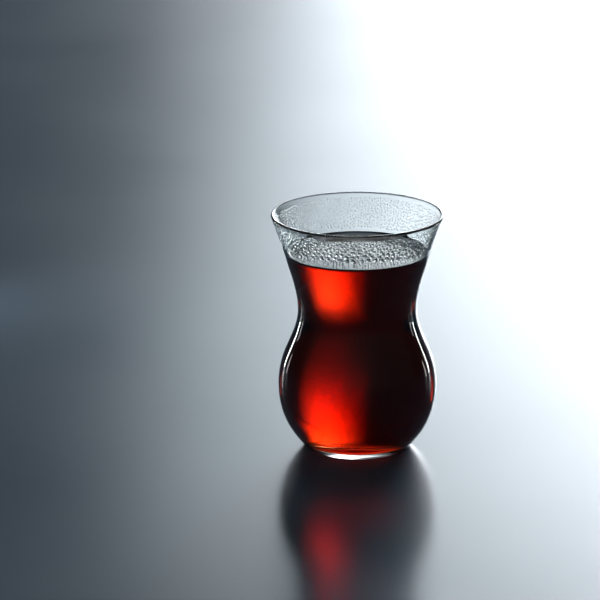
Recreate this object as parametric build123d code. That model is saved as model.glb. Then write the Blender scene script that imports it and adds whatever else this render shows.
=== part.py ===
"""Waisted tea glass with a flared lip, filled with black tea.

Two pieces, both turned about the Z axis: the glass, and the tea that stands in it with
its surface drawn up where it meets the wall. The origin is the middle of the foot, on
the table. Millimetres, +Z up.
"""
from build123d import *
import math
import os

# Outside of the glass: each radius, and the height it is at
height = 88.0
rim_radius = 31.5
waist_radius = 21.75
waist_height = 52.6
bulb_radius = 29.05
bulb_height = 22.8
foot_radius = 19.0
flare_slope = 20.0        # degrees that the wall leans out below the lip
foot_slope = 41.0         # degrees that the wall leans out where it leaves the foot

# Fullness of the curves in between, as shares of the way up and of the way across
hip_share = (0.355, 0.617)        # from the foot to the bulb
shoulder_share = (0.376, 0.226)   # from the bulb to the waist
nape_share = (0.685, 0.747)
neck_share = (0.492, 0.395)       # from the waist to the lip

# Wall, floor and underside
wall_at_lip = 1.2
wall_at_foot = 1.7
floor_height = 3.6        # edge of the floor above the table
floor_radius = 16.0
floor_crown = 0.4         # rise of the floor's middle over its edge
floor_turn = 6.5          # height in which the floor turns into the wall
punt_radius = 13.0        # hollow in the underside
punt_depth = 1.5
foot_round = 1.2

# Tea
tea_below_lip = 15.8      # from the top of the lip down to the level surface
capillary_length = 2.45   # of hot tea: how far out its drawn-up edge reaches
edge_slope = 48.0         # degrees that the surface is tilted where it meets the wall
level_slope = 1.5         # degrees under which the surface counts as level

WALL_STATIONS = 10        # places at which the wall's thickness is set off
EDGE_STATIONS = 8         # places along the drawn-up edge of the tea


def leaning(degrees):
    """Upward direction that leans away from the axis by an angle."""
    angle = math.radians(degrees)
    return Vector(math.sin(angle), math.cos(angle))


def inward(direction):
    """Direction square to a wall that rises along direction, towards the cavity."""
    return Vector(-direction.Y, direction.X)


def turned(*edges):
    """Solid turned about the axis from a half section drawn as (radius, height)."""
    face = Plane.XZ * make_face(Wire(list(edges)))
    return revolve(face, axis=Axis.Z, revolution_arc=360)


def lip_ends():
    """Outer and inner points where the rounded lip meets the wall."""
    lip_radius = wall_at_lip / 2
    centre = Vector(rim_radius - lip_radius, height - lip_radius)
    across = inward(leaning(flare_slope)) * lip_radius
    return centre - across, centre + across


def between(low, high, share):
    """Point a share of the way up and a share of the way across from low to high."""
    up, across = share
    return Vector(low.X + (high.X - low.X) * across, low.Y + (high.Y - low.Y) * up)


def outer_curve():
    """Outside of the wall, from the edge of the foot up to the lip."""
    foot = Vector(foot_radius, 0)
    bulb = Vector(bulb_radius, bulb_height)
    waist = Vector(waist_radius, waist_height)
    lip = lip_ends()[0]
    points = [
        foot,
        between(foot, bulb, hip_share),
        bulb,
        between(bulb, waist, shoulder_share),
        between(bulb, waist, nape_share),
        waist,
        between(waist, lip, neck_share),
        lip,
    ]
    return Spline(points, tangents=[leaning(foot_slope), leaning(flare_slope)])


def share_at(curve, level):
    """Share of the way along a rising curve at which it passes a height."""
    low, high = 0.0, 1.0
    for _ in range(50):
        middle = (low + high) / 2
        if (curve @ middle).Y < level:
            low = middle
        else:
            high = middle
    return low


def inner_curve(outer):
    """Inside of the glass, from the middle of the floor out and up to the lip."""
    points = []
    for share in (0, 0.5, 1):
        crown = floor_crown * (1 - share**2)
        points.append(Vector(floor_radius * share, floor_height + crown))
    first = share_at(outer, floor_height + floor_turn)
    for station in range(WALL_STATIONS):
        share = first + (1 - first) * station / WALL_STATIONS
        thickness = wall_at_foot + (wall_at_lip - wall_at_foot) * share
        points.append(outer @ share + inward(outer % share) * thickness)
    points.append(lip_ends()[1])
    return Spline(points, tangents=[Vector(1, 0), leaning(flare_slope)])


def make_glass(outer, inner):
    """Thin wall with a rounded lip, on a foot whose underside is hollowed."""
    outer_end, inner_end = lip_ends()
    lip = TangentArc(outer_end, inner_end, tangent=leaning(flare_slope))
    middle = Line((0, floor_height + floor_crown), (0, punt_depth))
    punt = Spline([(0, punt_depth), (punt_radius, 0)], tangents=[(1, 0), (1, 0)])
    ring = Line((punt_radius, 0), (foot_radius, 0))
    glass = turned(outer, lip, inner, middle, punt, ring)
    foot_edge = glass.edges().filter_by(GeomType.CIRCLE).filter_by(
        lambda edge: edge.center().Z < 0.01 and edge.radius > (punt_radius + foot_radius) / 2
    )
    return fillet(foot_edge, foot_round)


def tea_surface(inner):
    """Surface of the tea, level in the middle and drawn up through the wall."""
    level = height - tea_below_lip
    steepest = math.radians(edge_slope)
    flattest = math.radians(level_slope)

    def reach(slope):
        return capillary_length * (2 * math.cos(slope / 2) + math.log(math.tan(slope / 4)))

    def rise(slope):
        return 2 * capillary_length * math.sin(slope / 2)

    contact_height = level + rise(steepest)
    contact_radius = (inner @ share_at(inner, contact_height)).X
    points = [Vector(0, level)]
    for station in range(EDGE_STATIONS + 1):
        slope = flattest * (steepest / flattest) ** (station / EDGE_STATIONS)
        radius = contact_radius + reach(slope) - reach(steepest)
        points.append(Vector(radius, level + rise(slope)))
    onward = Vector(math.cos(steepest), math.sin(steepest)) * wall_at_lip
    points.append(points[-1] + onward)
    return Spline(points, tangents=[Vector(1, 0), onward])


def make_tea(inner):
    """What fills the cavity up to the tea's surface."""
    lip_end = inner @ 1
    cavity = turned(inner, Line(lip_end, (0, lip_end.Y)), Line((0, lip_end.Y), inner @ 0))
    surface = tea_surface(inner)
    edge = surface @ 1
    reach = 2 * max(bulb_radius, rim_radius)
    side = Polyline(edge, (reach, edge.Y), (reach, 0), (0, 0), surface @ 0)
    return cavity & turned(surface, *side.edges())


outer = outer_curve()
inner = inner_curve(outer)

pieces = {
    "glass": make_glass(outer, inner),
    "tea": make_tea(inner),
}

os.makedirs("parts", exist_ok=True)
for name, piece in pieces.items():
    export_step(piece, f"parts/{name}.step")
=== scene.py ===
"""Looks of a waisted glass of black tea.

Both pieces are turned about the Z axis, so each one starts as the half section of its
CAD node and is spun round again, finer. The glass is a thin clear wall on a narrow foot.
The tea reaches a hair into that wall, and vapour has settled in drops above it.
"""
import math
import random

import bpy
from mathutils import Matrix, Vector, noise


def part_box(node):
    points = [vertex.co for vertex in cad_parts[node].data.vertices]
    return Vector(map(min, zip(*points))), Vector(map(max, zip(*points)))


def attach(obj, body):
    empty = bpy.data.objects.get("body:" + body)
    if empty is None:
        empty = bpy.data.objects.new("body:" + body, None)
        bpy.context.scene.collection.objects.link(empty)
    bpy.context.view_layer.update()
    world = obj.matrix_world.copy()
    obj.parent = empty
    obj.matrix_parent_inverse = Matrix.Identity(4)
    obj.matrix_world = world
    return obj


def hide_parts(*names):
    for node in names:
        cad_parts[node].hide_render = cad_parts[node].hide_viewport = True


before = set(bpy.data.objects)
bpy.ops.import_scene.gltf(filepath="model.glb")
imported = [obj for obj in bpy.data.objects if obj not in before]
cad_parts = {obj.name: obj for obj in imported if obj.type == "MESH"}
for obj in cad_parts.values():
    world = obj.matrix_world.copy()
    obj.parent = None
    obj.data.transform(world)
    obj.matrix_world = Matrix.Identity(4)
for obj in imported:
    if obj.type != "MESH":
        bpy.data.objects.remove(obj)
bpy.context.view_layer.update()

MM = 0.001
tea_low, tea_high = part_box("tea")
glass_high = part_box("glass")[1]

# Turning
TURN_STEPS = 128          # places round the axis, before one subdivision
MERGE = 0.001 * MM        # points nearer than this are one point
TEA_INTO_WALL = 0.1 * MM  # how deep the tea reaches into the glass
EDGE_WIDTH = 1.2 * MM     # outermost band of the tea, where its surface is steep
EDGE_HEIGHT = 1.3 * MM
EDGE_POWER = 8            # how suddenly the surface rises towards the wall
FACING_UP = 0.9           # least upward part of a normal on the glass's floor

# Drops of condensed vapour on the inside of the wall: coarse below, finer near the lip
SEED = 11
DRY_ABOVE_TEA = 1.2 * MM
DRY_IN_FRONT = 2.4 * MM   # how much more is dry in front
DRY_BELOW_LIP = 2.0 * MM
COARSE_LOW = 1.9 * MM     # usual width of a drop just above the tea in front
COARSE_HIGH = 0.7 * MM    # and of one just below the lip, or at the back
COARSE_TRIES = 9000
FINE_WIDTH = 0.42 * MM    # usual width of the drops that fill the gaps
FINE_TRIES = 5000
CONTACT_ANGLE = 55.0      # degrees at which a full drop meets the glass
SHARPEST_SMOOTH = 50.0    # degrees up to which an edge of a drop is shaded smooth
CLEARANCE = 0.52          # least distance between two drops, as a share of their widths
DROP_INTO_WALL = 0.04 * MM
FULL_AT_BACK = 0.26       # height of a drop, as a share of a full one, at the back
FULLER_IN_FRONT = 0.5     # and how much more in front
UNEVEN_AT_BACK = 0.1      # how much that share differs from patch to patch
MORE_IN_FRONT = 0.3
PATCH = 8 * MM            # how far it is from flatter drops to fuller ones


# ---------------------------------------------------------------- modelling

def select_only(piece):
    """Makes a piece the one that operators act on."""
    bpy.ops.object.select_all(action="DESELECT")
    piece.select_set(True)
    bpy.context.view_layer.objects.active = piece


def select_where(piece, wanted):
    """In edit mode, selects the vertices whose place passes a test, and their edges."""
    bpy.ops.mesh.select_mode(type="VERT")
    bpy.ops.mesh.select_all(action="DESELECT")
    bpy.ops.object.mode_set(mode="OBJECT")
    for vertex in piece.data.vertices:
        vertex.select = wanted(vertex.co)
    bpy.ops.object.mode_set(mode="EDIT")


def half_section(node, name):
    """Line from axis to axis along which a plane through the axis cuts a CAD node."""
    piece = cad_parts[node].copy()
    piece.data = piece.data.copy()
    piece.name = name
    piece.data.name = name
    piece.parent = None
    for key in list(piece.keys()):
        del piece[key]
    bpy.context.scene.collection.objects.link(piece)
    piece.data.materials.clear()
    select_only(piece)
    bpy.ops.mesh.customdata_custom_splitnormals_clear()
    bpy.ops.object.mode_set(mode="EDIT")
    bpy.ops.mesh.select_all(action="SELECT")
    bpy.ops.mesh.remove_doubles(threshold=MERGE)
    select_where(piece, lambda place: abs(place.y) > MERGE or place.x < -MERGE)
    bpy.ops.mesh.delete(type="VERT")
    bpy.ops.object.mode_set(mode="OBJECT")
    return piece


def turn():
    """In edit mode, spins a half section into a closed shell with its faces outwards."""
    bpy.ops.mesh.select_all(action="SELECT")
    bpy.ops.mesh.spin(steps=TURN_STEPS, angle=2 * math.pi, center=(0, 0, 0), axis=(0, 0, 1))
    bpy.ops.mesh.select_all(action="SELECT")
    bpy.ops.mesh.remove_doubles(threshold=MERGE)
    bpy.ops.mesh.normals_make_consistent(inside=False)


def subdivide_once(piece):
    """Rounds a piece with one level of Catmull-Clark subdivision, and shades it smooth."""
    smoothing = piece.modifiers.new("subdivision", "SUBSURF")
    smoothing.levels = 1
    smoothing.render_levels = 1
    select_only(piece)
    bpy.ops.object.modifier_apply(modifier=smoothing.name)
    bpy.ops.object.shade_smooth()


def turn_glass():
    """The glass: outer wall, rounded lip, inner wall, floor and hollowed underside."""
    piece = half_section("glass", "drinking_glass")
    bpy.ops.object.mode_set(mode="EDIT")
    turn()
    bpy.ops.object.mode_set(mode="OBJECT")
    subdivide_once(piece)
    return piece


def turn_tea():
    """The tea, from the glass's floor up to a surface that is drawn up at the wall."""
    piece = half_section("tea", "black_tea")
    contact = tea_high.z - MERGE
    section = [vertex.co.copy() for vertex in piece.data.vertices]
    edge_radius = max(place.x for place in section if place.z > contact)
    level = max(place.z for place in section if place.x < MERGE)
    bpy.ops.object.mode_set(mode="EDIT")
    turn()
    select_where(piece, lambda place: on_wall(place, level, edge_radius))
    bpy.ops.transform.shrink_fatten(value=TEA_INTO_WALL, use_even_offset=True)
    select_where(piece, lambda place: place.z > contact)
    stretch = 1 + TEA_INTO_WALL / edge_radius
    bpy.ops.transform.resize(value=(stretch, stretch, 1), center_override=(0, 0, 0))
    bpy.ops.transform.translate(value=(0, 0, TEA_INTO_WALL))
    bpy.ops.transform.edge_crease(value=1)
    bpy.ops.object.mode_set(mode="OBJECT")
    subdivide_once(piece)
    return piece


def on_wall(place, level, edge_radius):
    """Whether a point of the tea's shell lies against the glass, below the tea's edge."""
    radius = math.hypot(place.x, place.y)
    surface = level + (tea_high.z - level) * (radius / edge_radius) ** EDGE_POWER
    return place.z < min(surface, level) - MM or (
        radius > edge_radius - EDGE_WIDTH and place.z < tea_high.z - EDGE_HEIGHT
    )


def is_wetted(face):
    """Whether a face of the glass lies under the tea."""
    outward = face.normal.x * face.center.x + face.normal.y * face.center.y
    return tea_low.z - MM < face.center.z < tea_high.z and (outward < 0 or face.normal.z > FACING_UP)


def drop_shape(name, around, rings):
    """A drop one unit wide, lying flat on z = 0: the cap of a ball on a closed base."""
    contact = math.radians(CONTACT_ANGLE)
    radius = 0.5 / math.sin(contact)
    cut = radius * math.cos(contact)
    bpy.ops.object.select_all(action="DESELECT")
    bpy.ops.mesh.primitive_uv_sphere_add(segments=around, ring_count=rings, radius=radius)
    drop = bpy.context.object
    drop.name = name
    bpy.ops.object.mode_set(mode="EDIT")
    bpy.ops.mesh.select_all(action="SELECT")
    bpy.ops.mesh.bisect(plane_co=(0, 0, cut), plane_no=(0, 0, 1), use_fill=True, clear_inner=True)
    bpy.ops.mesh.select_all(action="SELECT")
    bpy.ops.transform.translate(value=(0, 0, -cut))
    bpy.ops.mesh.normals_make_consistent(inside=False)
    bpy.ops.object.mode_set(mode="OBJECT")
    bpy.ops.object.shade_smooth_by_angle(angle=math.radians(SHARPEST_SMOOTH))
    return drop


def in_front(turn_by):
    """How far round towards the front a place is: 0 at the back, 1 at the front."""
    return 0.5 - 0.5 * math.sin(turn_by)


def scatter(tries, width_at, chance, taken):
    """Places of drops on the inner wall that keep clear of each other, the widest first."""
    low = tea_high.z + DRY_ABOVE_TEA
    high = glass_high.z - DRY_BELOW_LIP
    wished = []
    for _ in range(tries):
        share = chance.random()
        turn_by = chance.uniform(0, 2 * math.pi)
        wished.append((width_at(share, turn_by, chance), turn_by, low + (high - low) * share))
    wished.sort(reverse=True)
    places = []
    for width, turn_by, level in wished:
        outward = Vector((math.cos(turn_by), math.sin(turn_by), 0))
        hit, place, normal, _ = glass.ray_cast(Vector((0, 0, level)), outward)
        dry = DRY_IN_FRONT * in_front(turn_by) + MM * noise.noise(place / PATCH)
        if hit and level - low > dry and is_clear(place, width, taken):
            taken.setdefault(cell_of(place), []).append((place, width))
            places.append((place, normal, width))
    return places


def cell_of(place):
    """Cell of a coarse grid, by which the neighbours of a drop are found."""
    return tuple(math.floor(value / (2 * COARSE_LOW)) for value in place)


def is_clear(place, width, taken):
    """Whether a drop would keep clear of all those that already have a place."""
    across, along, up = cell_of(place)
    for x in (across - 1, across, across + 1):
        for y in (along - 1, along, along + 1):
            for z in (up - 1, up, up + 1):
                for other, other_width in taken.get((x, y, z), ()):
                    if (place - other).length < (width + other_width) * CLEARANCE:
                        return False
    return True


def settle(shape, places, chance, name):
    """Copies one drop to each place, uneven and turned at random, and joins the copies.
    The drops at the back are flatter."""
    copies = []
    for place, normal, width in places:
        copy = shape.copy()
        copy.data = shape.data.copy()
        bpy.context.scene.collection.objects.link(copy)
        onto_wall = normal.to_track_quat("Z", "Y").to_matrix().to_4x4()
        spun = Matrix.Rotation(chance.uniform(0, 2 * math.pi), 4, "Z")
        longer = chance.uniform(0.88, 1.2)
        nearer = in_front(math.atan2(place.y, place.x))
        uneven = (UNEVEN_AT_BACK + MORE_IN_FRONT * nearer) * noise.noise(place / PATCH)
        fullness = FULL_AT_BACK + FULLER_IN_FRONT * nearer + uneven
        tall = width * fullness * chance.uniform(0.6, 1.35)
        sizes = Matrix.Diagonal((width * longer, width, tall, 1))
        into_wall = Matrix.Translation(place - normal * DROP_INTO_WALL)
        copy.data.transform(into_wall @ onto_wall @ spun @ sizes)
        copies.append(copy)
    bpy.ops.object.select_all(action="DESELECT")
    for copy in copies:
        copy.select_set(True)
    bpy.context.view_layer.objects.active = copies[0]
    bpy.ops.object.join()
    sheet = bpy.context.object
    sheet.name = name
    bpy.data.objects.remove(shape)
    return sheet


def coarse_width(share, turn_by, chance):
    """Width of a coarse drop, a share of the way up from the tea to the lip."""
    grown = in_front(turn_by) * (1 - share) ** 1.2
    return (COARSE_HIGH + (COARSE_LOW - COARSE_HIGH) * grown) * chance.uniform(0.5, 1.15)


def fine_width(share, turn_by, chance):
    """Width of a fine drop."""
    return FINE_WIDTH * chance.uniform(0.6, 1.2)


def condense():
    """Two sheets of drops on the inside of the glass, above the tea."""
    chance = random.Random(SEED)
    taken = {}
    coarse = scatter(COARSE_TRIES, coarse_width, chance, taken)
    fine = scatter(FINE_TRIES, fine_width, chance, taken)
    return (
        settle(drop_shape("coarse_drop", around=14, rings=9), coarse, chance, "coarse_drops"),
        settle(drop_shape("fine_drop", around=8, rings=9), fine, chance, "fine_drops"),
    )


glass = turn_glass()
tea = turn_tea()
for piece, node in ((glass, "glass"), (tea, "tea")):
    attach(piece, "root")
    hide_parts(node)
drops = condense()
for sheet in drops:
    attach(sheet, "root")


# ---------------------------------------------------------------- materials

def linear(code):
    """Linear colour of an sRGB hex code."""
    shares = [int(code[place:place + 2], 16) / 255 for place in (1, 3, 5)]
    values = [c / 12.92 if c <= 0.04045 else ((c + 0.055) / 1.055) ** 2.4 for c in shares]
    return (*values, 1.0)


def add_node(tree, kind, inputs=None, **settings):
    """Adds a node. Each input gets a value, or a link from the socket that feeds it."""
    node = tree.nodes.new(kind)
    for name, value in settings.items():
        setattr(node, name, value)
    for name, value in (inputs or {}).items():
        if isinstance(value, bpy.types.NodeSocket):
            tree.links.new(value, node.inputs[name])
        else:
            node.inputs[name].default_value = value
    return node


def new_material(name):
    """An empty node material and its tree."""
    material = bpy.data.materials.new(name)
    material.use_nodes = True
    material.node_tree.nodes.clear()
    return material, material.node_tree


def absorption(tree, seen_through, depth):
    """Clear liquid through which white light comes out in a colour at a depth."""
    rates = [-math.log(share) / depth for share in linear(seen_through)[:3]]
    margin = 1.02
    density = margin * max(rates)
    colour = [1 - rate / density for rate in rates]
    return add_node(tree, "ShaderNodeVolumeAbsorption", {"Color": (*colour, 1), "Density": density})


def blobs(tree, size, detail=2.0):
    """Noise with blobs about one size across, in the piece's own coordinates."""
    place = add_node(tree, "ShaderNodeTexCoord")
    return add_node(tree, "ShaderNodeTexNoise", {
        "Vector": place.outputs["Object"], "Scale": 1 / size, "Detail": detail})


def soda_lime_glass(name, reflects):
    """Soda-lime glass, blown in a mould and fire-polished: smooth, with a faint draw to it
    that bends what shows through, and a greenish cast. Where liquid wets it, the surface
    hardly reflects."""
    material, tree = new_material(name)
    draw = blobs(tree, 7 * MM, detail=1.0)
    relief = add_node(tree, "ShaderNodeBump", {
        "Strength": 0.25, "Distance": 0.05 * MM, "Height": draw.outputs["Fac"]})
    shader = add_node(tree, "ShaderNodeBsdfPrincipled", {
        "Base Color": linear("#F8FCFB"), "Roughness": 0.0, "IOR": 1.52,
        "Transmission Weight": 1.0, "Specular Tint": (reflects, reflects, reflects, 1),
        "Normal": relief.outputs["Normal"]})
    add_node(tree, "ShaderNodeOutputMaterial", {"Surface": shader.outputs["BSDF"]})
    return material


TEA_COLOUR = "#DC8E68"    # of white light that has come through 10 mm of it
TEA_DEPTH = 10 * MM
LEVEL_ENOUGH = 0.45       # least upward part of a normal on the tea's surface


def black_tea():
    """Black tea: clear, with a colour that comes from its depth alone. Its level surface
    reflects as water does, with a faint ripple. Against the glass it doesn't reflect, as
    there is no air between."""
    material, tree = new_material("black_tea_brewed")
    facing = add_node(tree, "ShaderNodeNewGeometry")
    split = add_node(tree, "ShaderNodeSeparateXYZ", {0: facing.outputs["Normal"]})
    is_level = add_node(tree, "ShaderNodeMath", {
        0: split.outputs["Z"], 1: LEVEL_ENOUGH}, operation="GREATER_THAN")
    ripple = blobs(tree, 5 * MM)
    relief = add_node(tree, "ShaderNodeBump", {
        "Strength": is_level.outputs[0], "Distance": 0.03 * MM, "Height": ripple.outputs["Fac"]})
    shader = add_node(tree, "ShaderNodeBsdfPrincipled", {
        "Base Color": (1, 1, 1, 1), "Roughness": 0.0, "IOR": 1.33, "Transmission Weight": 1.0,
        "Specular Tint": is_level.outputs[0], "Normal": relief.outputs["Normal"]})
    depth = absorption(tree, TEA_COLOUR, TEA_DEPTH)
    add_node(tree, "ShaderNodeOutputMaterial", {
        "Surface": shader.outputs["BSDF"], "Volume": depth.outputs["Volume"]})
    return material


def condensed_water():
    """Drops of condensed water: clear little lenses, none of them quite round, so that each
    one turns the light a bit differently. A trace of grey stands for the finest mist."""
    material, tree = new_material("water_condensed")
    unevenness = blobs(tree, 0.7 * MM, detail=0.0)
    relief = add_node(tree, "ShaderNodeBump", {
        "Strength": 0.5, "Distance": 0.04 * MM, "Height": unevenness.outputs["Fac"]})
    shader = add_node(tree, "ShaderNodeBsdfPrincipled", {
        "Base Color": linear("#CACECE"), "Roughness": 0.0, "IOR": 1.33, "Transmission Weight": 1.0,
        "Normal": relief.outputs["Normal"]})
    add_node(tree, "ShaderNodeOutputMaterial", {"Surface": shader.outputs["BSDF"]})
    return material


glass.data.materials.append(soda_lime_glass("soda_lime_glass_fire_polished", reflects=1.0))
glass.data.materials.append(soda_lime_glass("soda_lime_glass_wetted", reflects=0.1))
for face in glass.data.polygons:
    face.material_index = int(is_wetted(face))
tea.data.materials.append(black_tea())
water = condensed_water()
for sheet in drops:
    sheet.data.materials.append(water)


# ---------------------------------------------------------------- studio

LENS = 263.4
SENSOR_WIDTH = 36
CAMERA_PLACE = (-0.0210, -1.5413, 0.5066)
CAMERA_DIP = 16.32        # degrees that the camera looks down
CAMERA_ROLL = -0.23
TABLE_SIZE = 12
TABLE_COLOUR = "#566978"
TABLE_GLOSS = 0.5         # share of it that is glossy; the rest is matte
DAYLIGHT = "#F4F8FF"
ROOM_LIGHT = 0.025
SOFT_BOX_DISTANCE = 5.0
SOFT_BOX_REACH = 2.8      # half of a soft box, in spreads of its fading light
STRIP_DISTANCE = 0.28
STRIP_TOP = 0.055
WINDOW = (13, 7.5)        # centre, in degrees of azimuth and elevation
WINDOW_SPREAD = (5.6, 5.2)

# Light that shows through the glass: the window, its brighter foot, a light high above
# it, and the dim room in front. Each has a centre and a spread, in degrees of azimuth and
# elevation, and a strength
GLOWS = (
    (WINDOW, WINDOW_SPREAD, 14.0),
    ((15, 3), (6, 2.5), 18.0),
    ((0, 42), (12, 4), 4.0),
    ((180, 25), (60, 40), 0.06),
)

# Narrow lamps upright on the table: azimuth in degrees, width and strength
STRIPS = {
    "left_strip": (-44, 0.016, 16.0),
    "right_strip": (54, 0.016, 13.0),
    "left_edge": (-56, 0.010, 4.0),
    "right_edge": (65, 0.010, 4.0),
}


def place_camera():
    """Camera in front of the glass, looking down on it through a long lens."""
    lens = bpy.data.cameras.new("camera")
    lens.lens = LENS
    lens.sensor_width = SENSOR_WIDTH
    camera = bpy.data.objects.new("camera", lens)
    bpy.context.scene.collection.objects.link(camera)
    tilt = Matrix.Rotation(math.radians(90 - CAMERA_DIP), 4, "X")
    roll = Matrix.Rotation(math.radians(CAMERA_ROLL), 4, "Z")
    camera.matrix_world = Matrix.Translation(CAMERA_PLACE) @ (tilt @ roll)
    bpy.context.scene.camera = camera


def lay_floor():
    """Wide plain table top, half glossy and half matte, unevenly wiped."""
    bpy.ops.object.select_all(action="DESELECT")
    bpy.ops.mesh.primitive_plane_add(size=TABLE_SIZE)
    floor = bpy.context.object
    floor.name = "floor"
    material, tree = new_material("table_top")
    wiped = blobs(tree, 90 * MM)
    gloss = add_node(tree, "ShaderNodeMapRange", {
        "Value": wiped.outputs["Fac"], "From Min": 0.3, "From Max": 0.7,
        "To Min": 0.185, "To Max": 0.215})
    shader = add_node(tree, "ShaderNodeBsdfPrincipled", {
        "Base Color": linear(TABLE_COLOUR), "Roughness": gloss.outputs["Result"], "IOR": 1.5})
    matte = add_node(tree, "ShaderNodeBsdfDiffuse", {"Color": linear(TABLE_COLOUR)})
    satin = add_node(tree, "ShaderNodeMixShader", {
        0: 1 - TABLE_GLOSS, 1: shader.outputs["BSDF"], 2: matte.outputs["BSDF"]})
    add_node(tree, "ShaderNodeOutputMaterial", {"Surface": satin.outputs["Shader"]})
    floor.data.materials.append(material)


def heading(azimuth, elevation):
    """Direction, with the azimuth in degrees from straight behind the glass to the right."""
    turn, lift = math.radians(azimuth), math.radians(elevation)
    return Vector((math.sin(turn) * math.cos(lift), math.cos(turn) * math.cos(lift), math.sin(lift)))


def glow(tree, direction, centre, spread, strength):
    """A soft-edged patch of light far away, centred and spread by azimuth and elevation."""
    middle = heading(*centre)
    across = heading(centre[0] + 90, 0)
    upward = across.cross(middle)
    squares = []
    for axis, angle in zip((across, upward), spread):
        along = add_node(tree, "ShaderNodeVectorMath", {
            0: direction, 1: axis}, operation="DOT_PRODUCT")
        share = add_node(tree, "ShaderNodeMath", {
            0: along.outputs["Value"], 1: math.sin(math.radians(angle))}, operation="DIVIDE")
        squares.append(add_node(tree, "ShaderNodeMath", {
            0: share.outputs[0], 1: share.outputs[0]}, operation="MULTIPLY"))
    distance = add_node(tree, "ShaderNodeMath", {
        0: squares[0].outputs[0], 1: squares[1].outputs[0]}, operation="ADD")
    falloff = add_node(tree, "ShaderNodeMath", {
        0: distance.outputs[0], 1: -0.5}, operation="MULTIPLY")
    patch = add_node(tree, "ShaderNodeMath", {0: falloff.outputs[0]}, operation="EXPONENT")
    ahead = add_node(tree, "ShaderNodeVectorMath", {0: direction, 1: middle}, operation="DOT_PRODUCT")
    side = add_node(tree, "ShaderNodeMath", {
        0: ahead.outputs["Value"], 1: 0.0}, operation="GREATER_THAN")
    shown = add_node(tree, "ShaderNodeMath", {
        0: patch.outputs[0], 1: side.outputs[0]}, operation="MULTIPLY")
    return add_node(tree, "ShaderNodeMath", {0: shown.outputs[0], 1: strength}, operation="MULTIPLY")


def soft_light():
    """A dim room with one large soft window low behind the glass, to the right, as it
    shows through the glass."""
    world = bpy.data.worlds.new("studio")
    bpy.context.scene.world = world
    world.use_nodes = True
    tree = world.node_tree
    tree.nodes.clear()
    direction = add_node(tree, "ShaderNodeTexCoord").outputs["Generated"]
    total = ROOM_LIGHT
    for centre, spread, strength in GLOWS:
        patch = glow(tree, direction, centre, spread, strength)
        added = add_node(tree, "ShaderNodeMath", {0: total, 1: patch.outputs[0]}, operation="ADD")
        total = added.outputs[0]
    background = add_node(tree, "ShaderNodeBackground", {"Color": linear(DAYLIGHT), "Strength": total})
    add_node(tree, "ShaderNodeOutputWorld", {"Surface": background.outputs["Background"]})


def lamp_at(name, width, height, place, radiance):
    """Flat lamp that faces the axis of the glass, and that the camera doesn't see."""
    lamp = bpy.data.lights.new(name, "AREA")
    lamp.shape = "RECTANGLE"
    lamp.size = width
    lamp.size_y = height
    lamp.energy = radiance * math.pi * width * height
    holder = bpy.data.objects.new(name, lamp)
    bpy.context.scene.collection.objects.link(holder)
    facing = place.to_track_quat("Z", "Y")
    holder.matrix_world = Matrix.Translation(place) @ facing.to_matrix().to_4x4()
    holder.visible_camera = False
    return holder


def strip_lamp(name, azimuth, width, radiance):
    """Narrow lamp upright on the table, which draws a bright line along the glass's edge."""
    place = heading(azimuth, 0) * STRIP_DISTANCE
    holder = lamp_at(name, width, STRIP_TOP, place, radiance)
    holder.location.z = STRIP_TOP / 2
    holder.visible_transmission = False


def soft_box(name, centre, spread, radiance):
    """Far lamp that is brightest in the middle and fades out to its edges."""
    reach = [
        SOFT_BOX_REACH * SOFT_BOX_DISTANCE * math.tan(math.radians(angle)) for angle in spread
    ]
    place = heading(*centre) * SOFT_BOX_DISTANCE
    holder = lamp_at(name, 2 * reach[0], 2 * reach[1], place, radiance)
    lamp = holder.data
    lamp.use_nodes = True
    tree = lamp.node_tree
    tree.nodes.clear()
    across = add_node(tree, "ShaderNodeNewGeometry")
    centred = add_node(tree, "ShaderNodeVectorMath", {
        0: across.outputs["Parametric"], 1: (0.5, 0.5, 0)}, operation="SUBTRACT")
    spreads = (2 * SOFT_BOX_REACH, 2 * SOFT_BOX_REACH, 0)
    flat = add_node(tree, "ShaderNodeVectorMath", {
        0: centred.outputs[0], 1: spreads}, operation="MULTIPLY")
    square = add_node(tree, "ShaderNodeVectorMath", {
        0: flat.outputs[0], 1: flat.outputs[0]}, operation="DOT_PRODUCT")
    halved = add_node(tree, "ShaderNodeMath", {
        0: square.outputs["Value"], 1: -0.5}, operation="MULTIPLY")
    fade = add_node(tree, "ShaderNodeMath", {0: halved.outputs[0]}, operation="EXPONENT")
    glowing = add_node(tree, "ShaderNodeEmission", {
        "Color": linear(DAYLIGHT), "Strength": fade.outputs[0]})
    add_node(tree, "ShaderNodeOutputLight", {"Surface": glowing.outputs[0]})
    return holder


place_camera()
lay_floor()
soft_light()

# The window as it lights the table, and its sheen on the table and on the glass
window = soft_box("window", WINDOW, WINDOW_SPREAD, 46.0)
window.visible_transmission = False
sheen = soft_box("sheen", WINDOW, WINDOW_SPREAD, 104.0)
sheen.visible_transmission = False
sheen.visible_diffuse = False

# A dimmer leaning panel round it, which brightens the table's gloss alone
panel = lamp_at("panel", 2.2, 1.7, heading(12, 15) * SOFT_BOX_DISTANCE, radiance=4.8)
panel.matrix_world = panel.matrix_world @ Matrix.Rotation(math.radians(-20), 4, "Z")
panel.data.color = linear("#EAF8FF")[:3]
panel.visible_transmission = False
panel.visible_diffuse = False

# A card over the window, which shows only through the foot
card = soft_box("card", (0, 17), (12, 4), 2.6)
card.visible_glossy = False
card.visible_diffuse = False

for name, (azimuth, width, radiance) in STRIPS.items():
    strip_lamp(name, azimuth, width, radiance)

bpy.context.scene.view_settings.view_transform = "Standard"
